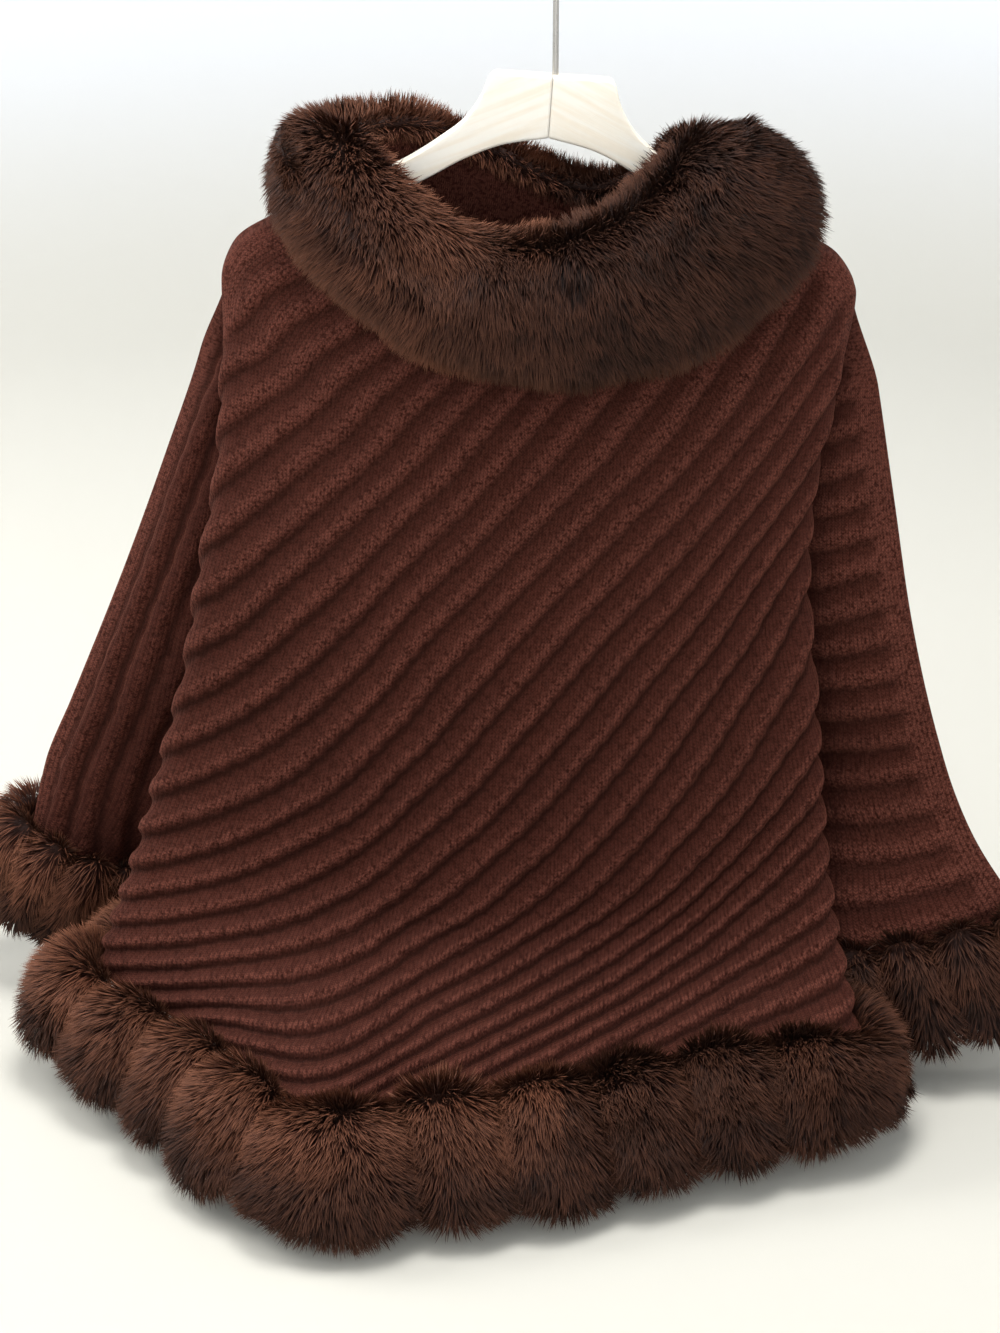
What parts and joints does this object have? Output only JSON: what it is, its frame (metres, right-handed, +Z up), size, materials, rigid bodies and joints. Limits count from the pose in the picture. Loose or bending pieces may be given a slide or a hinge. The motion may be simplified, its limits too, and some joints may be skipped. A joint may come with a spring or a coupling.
{
  "type": "knitted poncho with fur trim on a wooden hanger",
  "caption": "Ribbed knit batwing poncho with a fur collar ring, fur cuffs and a lobed fur hem, hanging open on a two-part wooden hanger with a steel hook.",
  "frame": {"origin": "the inside top of the steel hook, where a rail carries it", "axes": "+Z up, +X across the garment towards its right sleeve as seen from the front, -Y out of its front"},
  "size_m": [0.733, 0.4957, 0.7068],
  "materials": {
    "knit": "matt brown-red wool-look rib knit with a short halo of fibres",
    "fur": "dense dark brown fur with lighter taupe tips",
    "hanger_wood": "pale smooth satin wood with a faint grain",
    "hook_steel": "satin steel wire"
  },
  "bodies": {
    "root": {"front": "knit", "back": "knit", "sleeve_left_front": "knit", "sleeve_left_back": "knit", "sleeve_right_front": "knit", "sleeve_right_back": "knit", "collar_fur": "fur", "cuff_fur_left": "fur", "cuff_fur_right": "fur", "hem_fur_front": "fur", "hem_fur_back": "fur", "hanger_left": "hanger_wood", "hanger_right": "hanger_wood", "hook": "hook_steel"}
  },
  "joints": []
}
